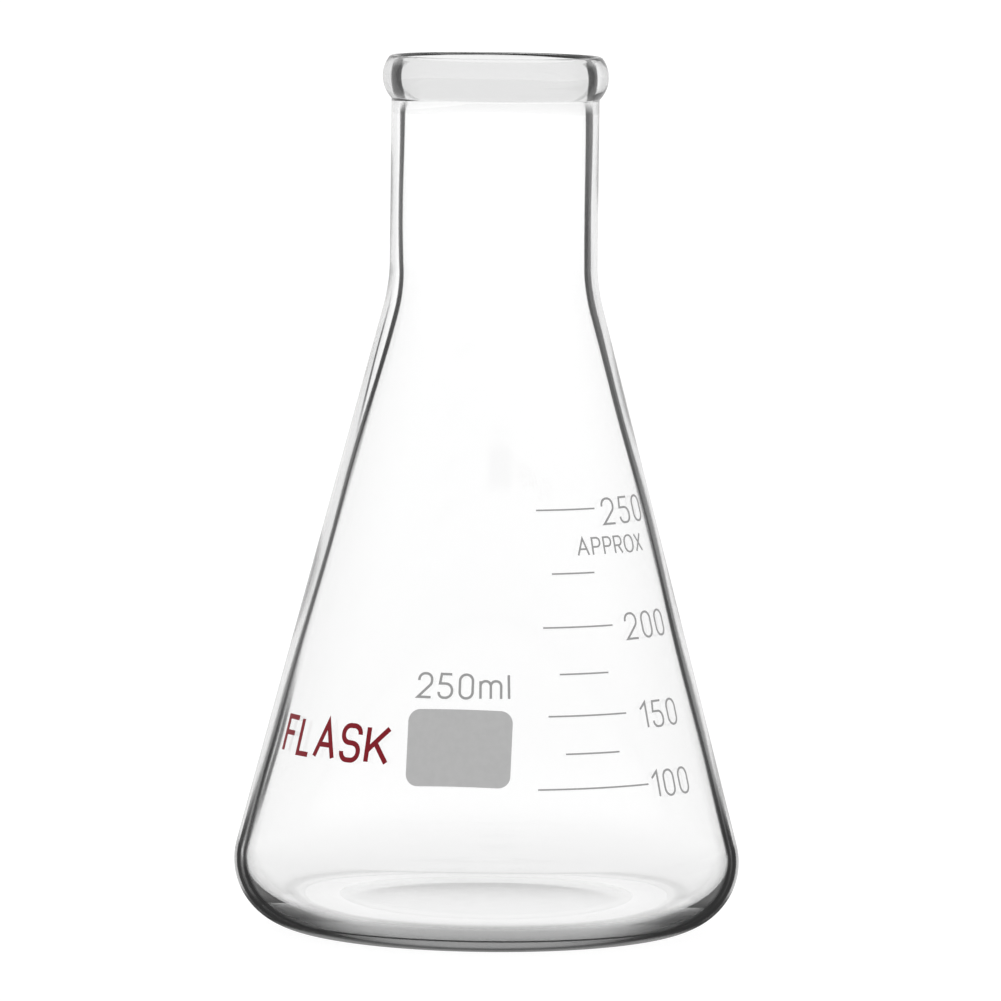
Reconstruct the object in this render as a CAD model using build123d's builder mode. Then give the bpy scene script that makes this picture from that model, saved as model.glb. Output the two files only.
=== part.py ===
"""Erlenmeyer flask, 250 ml narrow neck, blown borosilicate glass with fired-on enamel markings.

Millimetres, +Z up. The origin is the centre of the resting ring under the base. The markings face
-Y, and azimuth is measured from there towards +X. Each marking is its own thin layer of enamel.
"""

from build123d import *
import math
import os

# --- Driving dimensions of the glass ------------------------------------------------------------
flask_height = 146.5
body_radius = 42.5
cone_angle = 14.7  # of the wall from the vertical
neck_radius = 17.4
shoulder_radius = 30.0  # of the soft bend from the cone into the neck
heel_radius = 11.2
rim_radius = 18.9
rim_depth = 7.2  # height of the beaded rim, whose bulge meets the neck in a crease
rim_top_radius = 18.0
rim_bore = 17.3  # radius of the hollow that the bead has on its inside
mouth_radius = 16.4
lip_rise = 0.5  # height of the rounded crest between the bead and its hollow

neck_wall = 1.5
cone_wall = 1.1  # of the cone where it leaves the heel
shoulder_wall = 1.7  # of the cone where it meets the neck
floor_edge = 3.1  # thickness of the floor at the resting ring
floor_centre = 4.0  # height of the floor's middle, pushed up by the punt
punt_rise = 1.1
punt_radius = 25.0
inner_heel_radius = 9.0
inner_shoulder_radius = 28.0

# --- Driving dimensions of the enamel -----------------------------------------------------------
enamel = 0.06  # thickness of the fired layer
enamel_band = (22.0, 80.0)  # heights between which the cone carries markings
line_weight = 0.26
graduated_volumes = (100, 125, 150, 175, 200, 225, 250)  # ml
print_rise = 4.2  # how far the whole scale sits above the true levels
line_centre = 28.0  # azimuth of the middle of every graduation line, degrees
long_line = 23.6  # degrees of arc
short_line = 15.5
lowest_line = 31.1
numeral_height = 4.6
numeral_stretch = 1.2
numeral_azimuth = {100: 44.8, 150: 44.8, 200: 44.8, 250: 43.0}  # where each numeral begins
numeral_drop = {100: 0.1, 150: 0.6, 200: 0.4, 250: 0.6}  # of its middle below its line
spot_width = 17.3
spot_height = 12.8
spot_corner = 2.0
spot_azimuth = -7.5
spot_middle = 34.3

bend = math.radians(cone_angle)

# Centre of the heel's arc, and the point where the arc runs into the cone
heel_centre = Vector(body_radius - heel_radius, heel_radius)
cone_foot = heel_centre + Vector(math.cos(bend), math.sin(bend)) * heel_radius
shoulder = Vector(
    neck_radius + shoulder_radius,
    cone_foot.Y
    + (shoulder_radius - (neck_radius + shoulder_radius - cone_foot.X) * math.cos(bend))
    / math.sin(bend),
)
bore_radius = neck_radius - neck_wall


def cone_radius(height, depth=0.0):
    """Radius of the cone at a height, on the surface that lies depth inside the outer one."""
    return cone_foot.X - (height - cone_foot.Y) * math.tan(bend) - depth / math.cos(bend)


# The wall thickens from the heel to the shoulder, so the inside is a slightly steeper taper: its
# radius falls by inner_taper for each millimetre of height.
shoulder_height = cone_foot.Y + (cone_foot.X - neck_radius) / math.tan(bend)
foot_bore = cone_radius(cone_foot.Y, cone_wall)
inner_taper = (foot_bore - cone_radius(shoulder_height, shoulder_wall)) / (
    shoulder_height - cone_foot.Y
)


def inner_radius(height):
    """Radius of the inside of the cone at a height."""
    return foot_bore - (height - cone_foot.Y) * inner_taper


def save(piece, name):
    """Label a finished piece and write it as its own STEP file."""
    piece.part.label = name
    export_step(piece.part, f"parts/{name}.step")


os.makedirs("parts", exist_ok=True)

# --- The glass: one blown wall turned about the vertical axis -------------------------------------
inner_heel = (inner_radius(floor_edge), floor_edge)
inner_shoulder = (bore_radius, cone_foot.Y + (foot_bore - bore_radius) / inner_taper)
rim_middle = flask_height - (rim_depth + lip_rise) / 2

with BuildPart() as flask_body:
    with BuildSketch(Plane.XZ):
        with BuildLine():
            underside = TangentArc((0, punt_rise), (punt_radius, 0), tangent=(1, 0))
            Line(underside @ 1, (heel_centre.X, 0))
            heel = CenterArc(heel_centre, heel_radius, -90, 90 + cone_angle)
            bend_in = CenterArc(shoulder, shoulder_radius, 180 + cone_angle, -cone_angle)
            Line(heel @ 1, bend_in @ 0)
            neck = Line(bend_in @ 1, (neck_radius, flask_height - rim_depth))
            bead = ThreePointArc(
                neck @ 1,
                (rim_radius, rim_middle),
                (rim_top_radius, flask_height - lip_rise),
            )
            lip = ThreePointArc(
                bead @ 1,
                ((rim_top_radius + mouth_radius) / 2, flask_height),
                (mouth_radius, flask_height - lip_rise),
            )
            hollow = ThreePointArc(
                lip @ 1,
                (rim_bore, rim_middle),
                (bore_radius, flask_height - rim_depth),
            )
            inside = FilletPolyline(
                hollow @ 1,
                inner_shoulder,
                inner_heel,
                (punt_radius, floor_edge),
                radius=(inner_shoulder_radius, inner_heel_radius),
            )
            floor = TangentArc((0, floor_centre), inside @ 1, tangent=(1, 0))
            Line(floor @ 0, underside @ 0)
        make_face()
    revolve(axis=Axis.Z)
save(flask_body, "flask_body")


# --- Heights of the graduation lines --------------------------------------------------------------
cone_start = floor_edge + 1.5 * inner_heel_radius  # the inside is a plain cone from here up

with BuildPart() as lowest_filling:
    with BuildSketch(Plane.XZ):
        with BuildLine():
            wall = FilletPolyline(
                (inner_radius(cone_start), cone_start),
                inner_heel,
                (punt_radius, floor_edge),
                radius=(inner_heel_radius,),
            )
            floor = TangentArc((0, floor_centre), wall @ 1, tangent=(1, 0))
            Polyline(floor @ 0, (0, cone_start), wall @ 0)
        make_face()
    revolve(axis=Axis.Z)


def level(millilitres):
    """Height of the surface of that much liquid: the rest of it fills a frustum of the cone."""
    start = inner_radius(cone_start)
    rest = millilitres * 1000 - lowest_filling.part.volume
    radius = (start**3 - 3 * rest * inner_taper / math.pi) ** (1 / 3)
    return cone_start + (start - radius) / inner_taper


line_heights = {volume: level(volume) + print_rise for volume in graduated_volumes}


# --- Enamel: a thin skin on the cone, from which every marking is cut -----------------------------
with BuildPart() as enamel_skin:
    with BuildSketch(Plane.XZ):
        with BuildLine():
            low, high = enamel_band
            Polyline(
                (cone_radius(low), low),
                (cone_radius(high), high),
                (cone_radius(high, -enamel), high),
                (cone_radius(low, -enamel), low),
                close=True,
            )
        make_face()
    revolve(axis=Axis.Z)


def surface_plane(azimuth, height, left=0.0, down=0.0):
    """Plane that touches the cone, its x to the right round it and its y up the slope.

    Its origin lies left of and down from the point where it touches.
    """
    around = math.radians(azimuth)
    radius = cone_radius(height)
    outward = Vector(
        math.sin(around) * math.cos(bend),
        -math.cos(around) * math.cos(bend),
        math.sin(bend),
    )
    contact = Vector(radius * math.sin(around), -radius * math.cos(around), height)
    along = Vector(math.cos(around), math.sin(around), 0)
    upward = outward.cross(along)
    return Plane(origin=contact - along * left - upward * down, x_dir=along, z_dir=outward)


def press_onto_cone(depth):
    """Push the sketch of a marking through the skin and keep what lies in it."""
    extrude(amount=depth, both=True)
    add(enamel_skin.part, mode=Mode.INTERSECT)


for volume, height in line_heights.items():
    arc = long_line if volume in numeral_azimuth else short_line
    if volume == graduated_volumes[0]:
        arc = lowest_line
    with BuildPart() as line:
        first = line_centre - arc / 2 - 90
        with BuildSketch(Plane.XZ.rotated((0, 0, first))):
            with BuildLine():
                low = height - line_weight / 2
                high = height + line_weight / 2
                Polyline(
                    (cone_radius(low), low),
                    (cone_radius(high), high),
                    (cone_radius(high, -enamel), high),
                    (cone_radius(low, -enamel), low),
                    close=True,
                )
            make_face()
        revolve(axis=Axis.Z, revolution_arc=arc)
    save(line, f"line_{volume}")

with BuildPart() as writing_spot:
    with BuildSketch(surface_plane(spot_azimuth, spot_middle)):
        RectangleRounded(spot_width, spot_height, spot_corner)
    press_onto_cone(2.5)
save(writing_spot, "writing_spot")


# --- Lettering: pen strokes of even width, as parts of a character cell ---------------------------
# Width of each character between the middles of its outer strokes, in cell heights
character_width = {
    "0": 0.50,
    "1": 0.26,
    "2": 0.52,
    "5": 0.52,
    "A": 0.76,
    "F": 0.56,
    "K": 0.66,
    "L": 0.52,
    "O": 0.82,
    "P": 0.58,
    "R": 0.62,
    "S": 0.60,
    "X": 0.66,
    "l": 0.0,
    "m": 0.80,
}
letter_gap = 0.30  # between the stroke middles of neighbouring characters, in cell heights


def pen(*points, radius=0.0, weight=0.3, close=False):
    """One stroke along straight runs with rounded corners; radius is one value or one a corner."""
    with BuildLine() as stroke:
        if len(points) == 2:
            Line(*points)
        else:
            FilletPolyline(*points, radius=radius, close=close)
    trace(stroke.line, line_width=weight)


def draw(character, w, h, weight):
    """Draw a character in the open sketch, w wide and h high from the origin up and right."""
    if character in "0O":
        pen((0, 0), (w, 0), (w, h), (0, h), radius=0.49 * min(w, h), weight=weight, close=True)
    elif character == "1":
        pen((0, 0.74 * h), (w, h), (w, 0), radius=(0,), weight=weight)
    elif character == "2":
        curl = min(0.46 * w, 0.28 * h)
        pen(
            (0, 0.70 * h), (0, h), (w, h), (w, 0.58 * h), (0, 0), (w, 0),
            radius=(curl, curl, curl, 0), weight=weight,
        )
    elif character == "5":
        belly = 0.28 * h
        pen(
            (0.94 * w, h), (0.16 * w, h), (0.06 * w, 0.60 * h), (w, 0.60 * h), (w, 0), (0, 0),
            (0, 0.24 * h), radius=(0, 0, belly, belly, 0.22 * h), weight=weight,
        )
    elif character == "A":
        pen((0, 0), (w / 2, h), (w, 0), radius=(0,), weight=weight)
        pen((0.18 * w, 0.36 * h), (0.82 * w, 0.36 * h), weight=weight)
    elif character in "PR":
        pen(
            (0, 0), (0, h), (w, h), (w, 0.46 * h), (0, 0.46 * h),
            radius=(0, 0.26 * h, 0.26 * h), weight=weight,
        )
        if character == "R":
            pen((0.50 * w, 0.46 * h), (w, 0), weight=weight)
    elif character == "X":
        pen((0, 0), (w, h), weight=weight)
        pen((0, h), (w, 0), weight=weight)
    elif character == "F":
        pen((0, 0), (0, h), (w, h), radius=(0,), weight=weight)
        pen((0, 0.54 * h), (0.86 * w, 0.54 * h), weight=weight)
    elif character == "L":
        pen((0, h), (0, 0), (w, 0), radius=(0,), weight=weight)
    elif character == "S":
        bow = 0.235 * h
        pen(
            (w, 0.76 * h), (w, h), (0, h), (0, 0.52 * h), (w, 0.48 * h), (w, 0), (0, 0),
            (0, 0.24 * h), radius=(bow, bow, bow, bow, bow, bow), weight=weight,
        )
    elif character == "K":
        pen((0, 0), (0, h), weight=weight)
        pen((0, 0.32 * h), (w, h), weight=weight)
        pen((0.38 * w, 0.56 * h), (w, 0), weight=weight)
    elif character == "l":
        pen((0, 0), (0, h), weight=weight)
    elif character == "m":
        top = 0.74 * h
        pen((0, 0), (0, top), weight=weight)
        for left in (0, w / 2):
            pen(
                (left, 0.5 * top), (left, top), (left + w / 2, top), (left + w / 2, 0),
                radius=(0.24 * w, 0.24 * w), weight=weight,
            )


def lettering(text, start, middle, height, weight, stretch=1.0):
    """Enamel lettering that runs round the cone from an azimuth, centred on a height."""
    cell = height - weight
    azimuth = start
    with BuildPart() as letters:
        for character in text:
            width = character_width[character] * cell * stretch
            around = math.degrees((width / 2 + weight / 2) / cone_radius(middle))
            with BuildSketch(surface_plane(azimuth + around, middle, width / 2, cell / 2)):
                draw(character, width, cell, weight)
            azimuth += 2 * around + math.degrees(
                (letter_gap * cell * stretch - weight) / cone_radius(middle)
            )
        press_onto_cone(1.5)
    return letters


for volume, azimuth in numeral_azimuth.items():
    numeral = lettering(
        str(volume),
        start=azimuth,
        middle=line_heights[volume] - numeral_drop[volume],
        height=numeral_height,
        weight=0.36,
        stretch=numeral_stretch,
    )
    save(numeral, f"numeral_{volume}")

approx_note = lettering("APPROX", start=30.2, middle=66.5, height=3.1, weight=0.3, stretch=1.0)
save(approx_note, "approx_note")

capacity_label = lettering("250ml", start=-19.9, middle=44.2, height=4.35, weight=0.42, stretch=1.08)
save(capacity_label, "capacity_label")

flask_word = lettering("FLASK", start=-65.6, middle=34.1, height=6.6, weight=0.85)
save(flask_word, "flask_word")
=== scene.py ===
"""Blown glass Erlenmeyer flask with fired enamel markings, standing in a bright studio."""

import math

import bpy
import numpy as np
from mathutils import Matrix, Vector


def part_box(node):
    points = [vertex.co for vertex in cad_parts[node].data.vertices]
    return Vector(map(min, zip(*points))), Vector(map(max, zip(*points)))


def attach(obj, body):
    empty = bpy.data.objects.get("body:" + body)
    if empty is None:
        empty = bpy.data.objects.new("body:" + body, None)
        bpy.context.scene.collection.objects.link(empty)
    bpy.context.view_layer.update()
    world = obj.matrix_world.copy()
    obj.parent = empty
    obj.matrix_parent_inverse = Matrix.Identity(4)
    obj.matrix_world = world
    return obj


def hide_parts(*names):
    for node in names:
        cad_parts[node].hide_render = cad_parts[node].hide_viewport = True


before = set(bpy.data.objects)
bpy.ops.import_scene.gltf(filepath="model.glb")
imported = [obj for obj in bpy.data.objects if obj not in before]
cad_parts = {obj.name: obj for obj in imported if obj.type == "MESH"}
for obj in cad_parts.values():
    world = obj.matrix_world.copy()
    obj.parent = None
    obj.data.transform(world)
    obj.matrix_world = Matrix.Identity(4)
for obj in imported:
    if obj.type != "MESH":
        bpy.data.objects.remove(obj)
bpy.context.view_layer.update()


# --- The glass ------------------------------------------------------------------------------------
# One gather of borosilicate glass, blown into a conical mould and turned: a base with a shallow
# punt, a rounded heel, a straight cone, a soft shoulder, a neck and a beaded, fire-polished rim.
# The outside takes the mould's true shape; the inside keeps the faint waves of the blowing.
mm = 0.001
base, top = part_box("flask_body")
height = top[2]
body_radius = (top[0] - base[0]) / 2
cone = math.radians(14.7)
neck_radius = 17.4 * mm
shoulder_radius = 30 * mm
heel_radius = 11.2 * mm
rim_radius = 18.9 * mm
rim_depth = 7.2 * mm
rim_top = 18.0 * mm
rim_bore = 17.3 * mm
mouth_radius = 16.4 * mm
lip_rise = 0.5 * mm
neck_wall = 1.5 * mm
cone_wall = 1.1 * mm
shoulder_wall = 1.7 * mm
floor_edge = 3.1 * mm
floor_centre = 4.0 * mm
punt_rise = 1.1 * mm
punt_radius = 25 * mm
inner_heel = 9 * mm
inner_shoulder = 28 * mm
around_steps = 288
refraction = 1.473
touch = 0.001 * mm


def arc(centre, radius, start, end, steps):
    """Points at even angles along a circle in the plane of radius and height."""
    angles = np.linspace(start, end, steps)
    return np.stack([centre[0] + radius * np.cos(angles), centre[1] + radius * np.sin(angles)], 1)


def run(start, end, steps):
    """Points evenly spaced between two points, without the points themselves."""
    part = np.linspace(0, 1, steps + 2)[1:-1, None]
    return (1 - part) * np.array(start) + part * np.array(end)


def dome(rise, edge_height, edge_radius, steps):
    """Points out from the axis along a shallow curve whose height falls with radius squared."""
    radius = np.linspace(0, edge_radius, steps)
    return np.stack([radius, edge_height + rise * (1 - (radius / edge_radius) ** 2)], 1)


def corner(before, point, after, radius, steps):
    """Points of the arc that rounds the corner at point between two straight runs."""
    before, point, after = map(np.array, (before, point, after))
    toward = (before - point) / np.linalg.norm(before - point)
    away = (after - point) / np.linalg.norm(after - point)
    half = math.acos(float(toward @ away)) / 2
    middle = (toward + away) / np.linalg.norm(toward + away)
    centre = point + middle * radius / math.sin(half)
    first = point + toward * radius / math.tan(half) - centre
    last = point + away * radius / math.tan(half) - centre
    start = math.atan2(first[1], first[0])
    turn = (math.atan2(last[1], last[0]) - start + math.pi) % (2 * math.pi) - math.pi
    return arc(centre, radius, start, start + turn, steps)


heel_centre = (body_radius - heel_radius, heel_radius)
cone_foot = (
    heel_centre[0] + heel_radius * math.cos(cone),
    heel_centre[1] + heel_radius * math.sin(cone),
)
shoulder_across = neck_radius + shoulder_radius - cone_foot[0]
shoulder_centre = (
    neck_radius + shoulder_radius,
    cone_foot[1] + (shoulder_radius - shoulder_across * math.cos(cone)) / math.sin(cone),
)
cone_head = (
    shoulder_centre[0] - shoulder_radius * math.cos(cone),
    shoulder_centre[1] - shoulder_radius * math.sin(cone),
)
bore = neck_radius - neck_wall
bead_foot = (neck_radius, height - rim_depth)
rim_middle = height - (rim_depth + lip_rise) / 2
cone_rise = (cone_foot[0] - neck_radius) / math.tan(cone)
foot_bore = cone_foot[0] - cone_wall / math.cos(cone)
inner_taper = (foot_bore - neck_radius + shoulder_wall / math.cos(cone)) / cone_rise


def inner_cone(level):
    """Radius of the inside of the cone at a height: the wall thickens towards the shoulder."""
    return foot_bore - (level - cone_foot[1]) * inner_taper


def bow(start, through, end, steps):
    """Points of the circular arc from start to end through a third point between them."""
    start, through, end = map(np.array, (start, through, end))
    sides = 2 * np.array([through - start, end - start])
    lengths = through @ through - start @ start, end @ end - start @ start
    centre = np.linalg.solve(sides, lengths)
    angles = [math.atan2(*(point - centre)[::-1]) for point in (start, through, end)]
    first, middle, last = np.unwrap(angles)
    return arc(centre, np.linalg.norm(start - centre), first, last, steps)


inside_heel = (inner_cone(floor_edge), floor_edge)
inside_shoulder = (bore, cone_foot[1] + (foot_bore - bore) / inner_taper)
bead_head = (rim_top, height - lip_rise)
hollow_head = (mouth_radius, height - lip_rise)
hollow_foot = (bore, height - rim_depth)

outside = np.concatenate([
    dome(punt_rise, 0, punt_radius, 14),
    run((punt_radius, 0), (heel_centre[0], 0), 3),
    arc(heel_centre, heel_radius, -math.pi / 2, cone, 56),
    run(cone_foot, cone_head, 40),
    arc(shoulder_centre, shoulder_radius, math.pi + cone, math.pi, 12),
    run((neck_radius, shoulder_centre[1]), bead_foot, 10),
    bow(bead_foot, (rim_radius, rim_middle), bead_head, 26),
    bow(bead_head, ((rim_top + mouth_radius) / 2, height), hollow_head, 12)[1:],
])
inside = np.concatenate([
    bow(hollow_head, (rim_bore, rim_middle), hollow_foot, 24)[1:],
    run(hollow_foot, (bore, inside_shoulder[1] + 4 * mm), 12),
    corner((bore, height), inside_shoulder, inside_heel, inner_shoulder, 12),
    run(
        (inner_cone(inside_shoulder[1] - 4 * mm), inside_shoulder[1] - 4 * mm),
        (inner_cone(floor_edge + 12 * mm), floor_edge + 12 * mm), 60,
    ),
    corner(inside_shoulder, inside_heel, (0, floor_edge), inner_heel, 18),
    dome(floor_centre - floor_edge, floor_edge, punt_radius, 14)[::-1],
])


def lathe(profile, wave, steps):
    """Grid of points: the profile's radius, changed by a wave, carried round the upright axis."""
    around = np.linspace(0, 2 * math.pi, steps, endpoint=False)[None, :]
    radius = profile[:, :1] + wave(around, profile[:, 1:])
    level = np.broadcast_to(profile[:, 1:], radius.shape)
    return np.stack([radius * np.cos(around), radius * np.sin(around), level], 2)


def still(around, level):
    """No change: the mould holds the outside true."""
    return 0 * around * level


def blown(around, level):
    """Waves of the inner wall: the cosine of the angle round it, strongest halfway up the cone, a
    bead thicker on the same side, and slow sine ripples that climb round it."""
    above_heel = np.clip((level - 10 * mm) / (20 * mm), 0, 1)
    below_lip = np.clip((height - level) / (1 * mm), 0, 1)
    cone_lean = 0.10 + 0.28 * np.exp(-(((level - 80 * mm) / (28 * mm)) ** 2))
    rim_lean = 0.5 * np.clip((level - height + rim_depth) / (2 * mm), 0, 1)
    lobe = cone_lean * np.cos(around) - rim_lean * (1 + np.cos(around)) / 2
    slow_ripple = 0.05 * np.sin(2 * around + level / (9 * mm))
    quick_ripple = 0.04 * np.sin(3 * around - level / (5.5 * mm) + 1.0)
    return mm * above_heel * below_lip * (lobe + slow_ripple + quick_ripple)


def closed_mesh(name, rows):
    """Mesh of quads between rows of points, with the first and last row gathered at a pole."""
    count, steps = rows.shape[:2]
    points = np.concatenate([rows[0, :1], rows[1:-1].reshape(-1, 3), rows[-1, :1]])
    ring = np.arange(steps)
    following = np.roll(ring, -1)
    starts = 1 + steps * np.arange(count - 3)[:, None]
    quads = np.stack(
        [starts + ring, starts + following, starts + steps + following, starts + steps + ring], 2
    ).reshape(-1, 4)
    last = 1 + steps * (count - 3)
    foot = np.stack([np.zeros_like(ring), following + 1, ring + 1], 1)
    head = np.stack([last + ring, last + following, np.full_like(ring, len(points) - 1)], 1)
    mesh = bpy.data.meshes.new(name)
    mesh.from_pydata(points.tolist(), [], foot.tolist() + quads.tolist() + head.tolist())
    mesh.shade_smooth()
    return mesh


outer_rows = lathe(outside, still, around_steps)
inner_rows = lathe(inside, blown, around_steps)
glass_mesh = closed_mesh("flask_glass", np.concatenate([outer_rows, inner_rows]))
flask_glass = bpy.data.objects.new("flask_glass", glass_mesh)
bpy.context.scene.collection.objects.link(flask_glass)
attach(flask_glass, "root")
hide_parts("flask_body")


class Wire:
    """A node socket that takes part in arithmetic: each operation adds its Math node."""

    def __init__(self, tree, socket):
        self.tree = tree
        self.socket = socket

    def make(self, kind, settings=None, **inputs):
        """Add any node: its settings are set first, then its sockets get values or links."""
        node = self.tree.nodes.new(kind)
        for name, value in (settings or {}).items():
            setattr(node, name, value)
        for name, value in inputs.items():
            socket = node.inputs[int(name[1:]) if name[1:].isdigit() else name.replace("_", " ")]
            if isinstance(value, Wire):
                self.tree.links.new(value.socket, socket)
            else:
                socket.default_value = value
        return node

    def math(self, operation, first, second=0.0):
        """Add a Math node that works on two values or wires."""
        node = self.make("ShaderNodeMath", {"operation": operation}, _0=first, _1=second)
        return Wire(self.tree, node.outputs[0])

    def __add__(self, other):
        return self.math("ADD", self, other)

    def __sub__(self, other):
        return self.math("SUBTRACT", self, other)

    def __rsub__(self, other):
        return self.math("SUBTRACT", other, self)

    def __mul__(self, other):
        return self.math("MULTIPLY", self, other)

    __radd__ = __add__
    __rmul__ = __mul__

    def rise(self, low, high):
        """Smooth step from 0 at low to 1 at high."""
        node = self.make(
            "ShaderNodeMapRange", {"interpolation_type": "SMOOTHSTEP"},
            Value=self, From_Min=low, From_Max=high,
        )
        return Wire(self.tree, node.outputs[0])

    def strip(self, start, full, fading, end):
        """1 between full and fading, easing to 0 at start below them and at end above them."""
        return self.rise(start, full) * (1 - self.rise(fading, end))


# What the finish needs to know at each point of the mesh: where the point lies on the glass, and
# how far the surface has turned away where the wall's dark lines are painted on as shade.
mesh_points = np.empty(len(glass_mesh.vertices) * 3)
glass_mesh.vertices.foreach_get("co", mesh_points)
mesh_points = mesh_points.reshape(-1, 3)
level = mesh_points[:, 2]
around = np.arctan2(mesh_points[:, 1], mesh_points[:, 0])
from_axis = np.hypot(mesh_points[:, 0], mesh_points[:, 1])
right_share = (1 + mesh_points[:, 0] / np.maximum(from_axis, touch)) / 2
left_share = 1 - right_share
is_inside = np.arange(len(mesh_points)) >= 1 + around_steps * (len(outside) - 1)

# The painted dark line on the inner side of the wall, a painted shade at the left and right of the
# flask. Each row is a height in mm, the line's width in mm at the left and at the right, and how
# black the line's core is at the left and at the right, from 0 to 1.
line_levels, left_width, right_width, left_core, right_core = np.array([
    (10, 0.60, 0.90, 0.94, 0.94),
    (30, 0.45, 0.75, 0.84, 0.74),
    (50, 0.36, 0.72, 0.30, 0.72),
    (67, 0.36, 0.72, 0.25, 0.74),
    (90, 0.46, 0.85, 0.66, 0.30),
    (98, 0.50, 0.90, 0.66, 0.20),
    (118, 0.56, 0.95, 0.08, 0.50),
    (130, 0.60, 1.15, 0.15, 0.08),
    (138.6, 0.62, 1.15, 0.15, 0.10),
    (141, 1.45, 1.20, 0.20, 0.25),
    (146, 1.50, 1.40, 0.30, 0.35),
]).T


def share(value, low, high):
    """Smooth step from 0 at low to 1 at high: the part of the way squared, times 3 less twice it."""
    part = np.clip((value - low) / (high - low), 0, 1)
    return part * part * (3 - 2 * part)


def round_wall(left, right):
    """Values listed up the left and the right of the wall, mixed by how far right a point is."""
    left_here = np.interp(level / mm, line_levels, left)
    right_here = np.interp(level / mm, line_levels, right)
    return left_here * left_share + right_here * right_share


def radius_at(profile, heights):
    """Radius of a profile at each height, read straight between its points."""
    return np.interp(heights, profile[:, 1], profile[:, 0])


def turned_at(ratio):
    """How far a round wall has turned away, 1 less its cosine, at a ratio of its radius."""
    return 1 - np.sqrt(1 - ratio**2)


# Places on the glass.
touches_floor = level <= touch
punt_side = from_axis <= heel_centre[0]
is_outer_wall = ~is_inside & ~touches_floor & ((level > 8 * mm) | ~punt_side)
is_heel = is_outer_wall & (level < 30 * mm)
is_punt = ~is_inside & (level < punt_rise + touch) & (from_axis < heel_centre[0] + touch)
near_heel = share(-level, -30 * mm, -14 * mm)
below_neck = share(-level, -115 * mm, -95 * mm)
heel_angle = np.arctan2(heel_centre[1] - level, np.maximum(from_axis - heel_centre[0], touch))
bead_edge = height - rim_depth
from_middle = abs(level - rim_middle)
hollow_ends = share(from_middle, 1.6 * mm, 2.8 * mm) * share(-from_middle, -4.6 * mm, -3.8 * mm)

# Places of the lines: below the top of the heel they keep their share of the radius.
upright = np.maximum(level, 12 * mm)
inner_side = inside[(inside[:, 0] > 12 * mm) & (inside[:, 1] > floor_edge + 0.1 * mm)][::-1]
outer_side = outside[(outside[:, 0] > 12 * mm) & (outside[:, 1] > touch)]
inner_radius = radius_at(inner_side, upright) + blown(around, upright)
outer_radius = radius_at(outer_side, upright)
line_width = mm * round_wall(left_width, right_width)
reach = 1 - line_width / np.maximum(from_axis, 2 * line_width)
core_radius = inner_radius - 0.45 * line_width - 0.3 * mm * near_heel * left_share
second_radius = inner_radius + mm * np.interp(level / mm, (33, 97), (-1.0, 1.08))
second_levels = (16, 24, 36, 46, 82, 90, 100, 108)
second_depths = (0, 0.9, 0.9, 0, 0, 0.9, 0.9, 0)
second_depth = np.interp(level / mm, second_levels, second_depths)

# Painted grey shade on the inside of the glass: over the cone, darker towards the bottom, at the
# foot of the wall, and where the inner floor turns up into it.
wall_painted_grey = 0.05 * (1 - level / height) + 0.03 * share(level, 12 * mm, 30 * mm) * below_neck
foot_painted_grey = 0.10 * share(-level, -17 * mm, -6 * mm) * share(from_axis, 31 * mm, 35 * mm)
turn_up = np.exp(-(((from_axis - 33.6 * mm) / (1.1 * mm)) ** 2)) * (level < 8 * mm)

masks = {
    "inner": is_inside,
    "wall": is_inside * share(level, 12.5 * mm, 16 * mm) * (1 - hollow_ends),
    "heel": is_outer_wall * near_heel,
    "heel_right": is_outer_wall * near_heel * right_share,
    "heel_angle": np.where(is_heel, np.degrees(heel_angle), -90),
    "heel_slope": np.where(is_heel, 1 / np.maximum(np.cos(heel_angle), 0.2), 1),
    "rim": share(level, bead_edge - 0.9 * mm, bead_edge + 0.9 * mm),
    "edge_at": turned_at(reach),
    "ridge_at": turned_at(reach / refraction),
    "ridge_depth": 0.86 + 0.11 * share(-level, -125 * mm, -95 * mm),
    "core_at": turned_at(np.clip(core_radius / outer_radius, 0, 0.995)),
    "core_depth": is_outer_wall * round_wall(left_core, right_core),
    "second_at": turned_at(np.clip(second_radius / outer_radius, 0, 0.995)),
    "second_depth": ~is_inside * second_depth * left_share**4,
    # The tint mask carries this painted grey shade.
    "tint": is_inside * (wall_painted_grey + foot_painted_grey + 0.14 * turn_up),
    "punt": is_punt,
}
for name, values in masks.items():
    stored = glass_mesh.attributes.new(name, "FLOAT", "POINT")
    stored.data.foreach_set("value", values.astype(np.float32))

glass = bpy.data.materials.new("borosilicate_glass")
glass.use_nodes = True
tree = glass.node_tree
shader = tree.nodes["Principled BSDF"]
output = tree.nodes["Material Output"]
shader.inputs["Transmission Weight"].default_value = 1.0
shader.inputs["IOR"].default_value = refraction
shader.inputs["Base Color"].default_value = (1, 1, 1, 1)
start = Wire(tree, None)
facing = Wire(tree, start.make("ShaderNodeLayerWeight", Blend=0.5).outputs["Facing"])
behind = Wire(tree, start.make("ShaderNodeNewGeometry").outputs["Backfacing"])


def mask(name):
    """Read one of the values stored at the points of the mesh."""
    return Wire(tree, start.make("ShaderNodeAttribute", {"attribute_name": name}).outputs["Fac"])


wall = mask("wall")
heel = mask("heel")
rim = mask("rim")
angle = mask("heel_angle")
in_front = 1 - behind
outer = (1 - mask("inner")) * in_front
above_ring = (1 - angle.rise(50, 62) * 0.85) * in_front
turned_round = (1 - facing) * mask("heel_slope")

# Painted dark line of the wall. Seen from inside the glass: the wall's inner side, from the start of
# its line to where it starts to mirror. Seen from the air: the same line as the far wall shows it.
mirrors = facing.rise(0.268, 0.277)
ridge = (facing - mask("ridge_at")).rise(-0.003, 0.005) * (1 - mirrors) * behind * wall
edge = (facing - mask("edge_at")).rise(-0.01, 0.03) * wall * in_front
# Painted grey shade that grows as the inner wall turns away.
grazing_shade = facing.rise(0.20, 0.80) * wall
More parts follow.
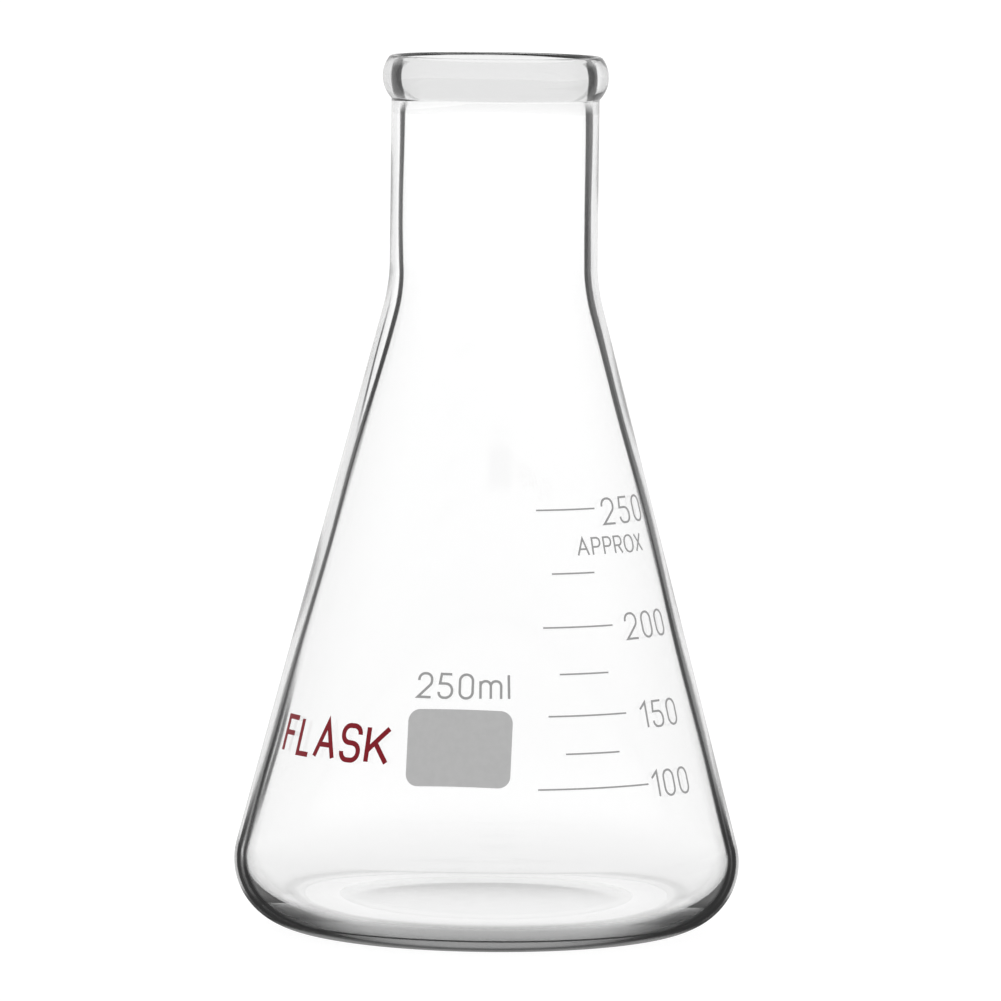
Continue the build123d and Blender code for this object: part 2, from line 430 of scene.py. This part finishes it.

# Painted shade on the outside, as it turns away: two pale steps, the black core of the wall's line,
# and the second thin line at the left.
pale_band = facing.rise(0.58, 0.70) * outer
outline = facing.rise(0.90, 0.98) * outer * (1 - rim)
core = (facing - mask("core_at")).strip(-0.05, -0.01, 0.01, 0.04) * above_ring
second = (facing - mask("second_at")).strip(-0.035, -0.008, 0.008, 0.035) * in_front

# Painted shade on the heel: a line along its outline, its filling at the right, grey on its thick
# flank and sole, near-black on its sides, and the thin black line just above the ring it rests on.
heel_line = facing.strip(0.75, 0.79, 0.84, 0.87) * heel * above_ring
heel_filling = facing.strip(0.69, 0.73, 0.80, 0.84) * mask("heel_right") * above_ring
flank = angle.rise(-10, 12) * facing.strip(0.64, 0.70, 0.76, 0.80) * in_front
sole = angle.rise(25, 38) * (0.56 + angle.rise(38, 52) * 0.14) * in_front
sides = (1 - turned_round.rise(0.50, 0.80)) * angle.strip(18, 30, 54, 64) * in_front
ring = angle.strip(48, 49.5, 50.5, 52) * (0.95 - turned_round.rise(0.84, 0.90) * 0.3) * in_front

# Every painted shade with its depth. The last is painted grey on the inner wall and on the rim.
shades = (
    (ridge, mask("ridge_depth")),
    (edge, mask("ridge_depth")),
    (pale_band, 0.17),
    (outline, 0.25),
    (core, mask("core_depth")),
    (second, mask("second_depth")),
    (heel_line, 0.95),
    (heel_filling, 0.7),
    (flank, 0.6),
    (sole, 1.0),
    (sides, 0.8),
    (ring, 1.0),
    (grazing_shade * 0.07 + mask("tint") + rim * 0.13, in_front),
)

# What the painted shades leave of the glass: the product of what each one lets through.
clear = 1
for shade, depth in shades:
    clear = clear * (1 - shade * depth)

# The punt keeps the faint roughness of the mould, and the rest of the glass is fire-polished.
punt_roughness = mask("punt") * 0.13
tree.links.new(punt_roughness.socket, shader.inputs["Roughness"])
# Near-black diffuse mixed in wherever shade is painted on the glass.
painted_shade_bsdf = start.make("ShaderNodeBsdfDiffuse", Color=(0.03, 0.03, 0.03, 1))
finish = start.make(
    "ShaderNodeMixShader",
    _0=1 - clear, _1=Wire(tree, shader.outputs[0]), _2=Wire(tree, painted_shade_bsdf.outputs[0]),
)
tree.links.new(finish.outputs[0], output.inputs["Surface"])
absorb = start.make("ShaderNodeVolumeAbsorption", Color=(0.75, 0.76, 0.755, 1), Density=24.0)
tree.links.new(absorb.outputs["Volume"], output.inputs["Volume"])
glass_mesh.materials.append(glass)


# --- Scale, numerals and capacity label -----------------------------------------------------------
# Grey ceramic enamel, screen-printed on the cone and fired into the glass: seven graduation lines,
# four numerals, the note that the marks are approximate, and the capacity.
grey_enamel = (0.308, 0.308, 0.308)
print_grain = 0.12 * mm


def enamel_paint(name, colour, roughness, grain, relief):
    """Fired enamel: its colour varies in soft clouds, and a fine grain gives it a satin bump."""
    material = bpy.data.materials.new(name)
    material.use_nodes = True
    tree = material.node_tree
    paint = tree.nodes["Principled BSDF"]
    paint.inputs["Specular IOR Level"].default_value = 0.15
    start = Wire(tree, None)
    place = Wire(tree, start.make("ShaderNodeTexCoord").outputs["Object"])

    def clouds(size, detail):
        """Soft noise of a given size of cloud."""
        node = start.make("ShaderNodeTexNoise", Vector=place, Scale=1 / size, Detail=detail)
        return Wire(tree, node.outputs["Fac"])

    thick = clouds(1.1 * mm, 4.0).rise(0.25, 0.75)
    fine = clouds(grain, 2.0)
    pale = [part * 1.02 + 0.002 for part in colour]
    deep = [part * 0.98 for part in colour]
    tint = start.make(
        "ShaderNodeMix", {"data_type": "RGBA"}, _0=thick, _6=(*pale, 1), _7=(*deep, 1)
    )
    tree.links.new(tint.outputs[2], paint.inputs["Base Color"])
    gloss = roughness + fine * 0.16 - 0.08
    tree.links.new(gloss.socket, paint.inputs["Roughness"])
    bump = start.make("ShaderNodeBump", Height=fine, Strength=relief, Distance=0.03 * mm)
    tree.links.new(bump.outputs["Normal"], paint.inputs["Normal"])
    return material


def fire(material, *names):
    """Give the named layers of enamel a finish."""
    for name in names:
        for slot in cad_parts[name].material_slots:
            slot.material = material


scale_names = [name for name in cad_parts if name.startswith(("line_", "numeral_"))]
grey_print = enamel_paint("grey_print_enamel", grey_enamel, 0.42, print_grain, 0.25)
fire(grey_print, *scale_names, "approx_note", "capacity_label")


# --- Writing spot ---------------------------------------------------------------------------------
# A rounded patch of paler enamel with a dry, gritty surface, printed below the capacity and left
# matt so that pencil marks hold.
pale_enamel = (0.434, 0.434, 0.434)
spot_grain = 0.18 * mm
spot_enamel = enamel_paint("writing_spot_enamel", pale_enamel, 0.82, spot_grain, 0.6)
fire(spot_enamel, "writing_spot")


# --- The red word ---------------------------------------------------------------------------------
# One plain word in deep red enamel, screen-printed left of the writing spot in the same way and
# fired a little glossier than the grey.
red_enamel = (0.19, 0.003, 0.010)
red_print = enamel_paint("red_print_enamel", red_enamel, 0.38, print_grain, 0.2)
fire(red_print, "flask_word")


# --- Studio: floor, light and camera --------------------------------------------------------------
# A wide sheet of pale paper that glows softly, so that it meets the bright room without a horizon,
# and a long lens that looks a little down on the flask.
floor_mesh = bpy.data.meshes.new("studio_floor")
floor_reach = 9.0
floor_mesh.from_pydata(
    [(x * floor_reach, y * floor_reach, 0) for x, y in ((-1, -1), (1, -1), (1, 1), (-1, 1))],
    [],
    [(0, 1, 2, 3)],
)
studio_floor = bpy.data.objects.new("studio_floor", floor_mesh)
bpy.context.scene.collection.objects.link(studio_floor)
paper = bpy.data.materials.new("pale_paper")
paper.use_nodes = True
sheet = paper.node_tree.nodes["Principled BSDF"]
sheet.inputs["Base Color"].default_value = (0.06, 0.06, 0.06, 1)
sheet.inputs["Roughness"].default_value = 1.0
sheet.inputs["Emission Color"].default_value = (1, 1, 1, 1)
sheet.inputs["Emission Strength"].default_value = 0.96
floor_mesh.materials.append(paper)

world = bpy.data.worlds.new("bright_room")
world.use_nodes = True
world.node_tree.nodes["Background"].inputs["Color"].default_value = (1, 1, 1, 1)
world.node_tree.nodes["Background"].inputs["Strength"].default_value = 1.03
bpy.context.scene.world = world
bpy.context.scene.view_settings.view_transform = "Standard"

sensor = 36
picture_width = 1001
focal_length = 8372
camera_roll = math.radians(0.687)
camera_data = bpy.data.cameras.new("camera")
camera_data.sensor_width = sensor
camera_data.lens = focal_length / picture_width * sensor
camera_data.clip_end = 60
camera = bpy.data.objects.new("camera", camera_data)
bpy.context.scene.collection.objects.link(camera)
bpy.context.scene.camera = camera
eye = Vector((0, -1.4, 0.1962))
aim = Vector((1.63 * mm, 0, 71.9 * mm))
look = (aim - eye).to_track_quat("-Z", "Y").to_matrix().to_4x4()
camera.matrix_world = Matrix.Translation(eye) @ look @ Matrix.Rotation(camera_roll, 4, "Z")
bpy.context.view_layer.update()
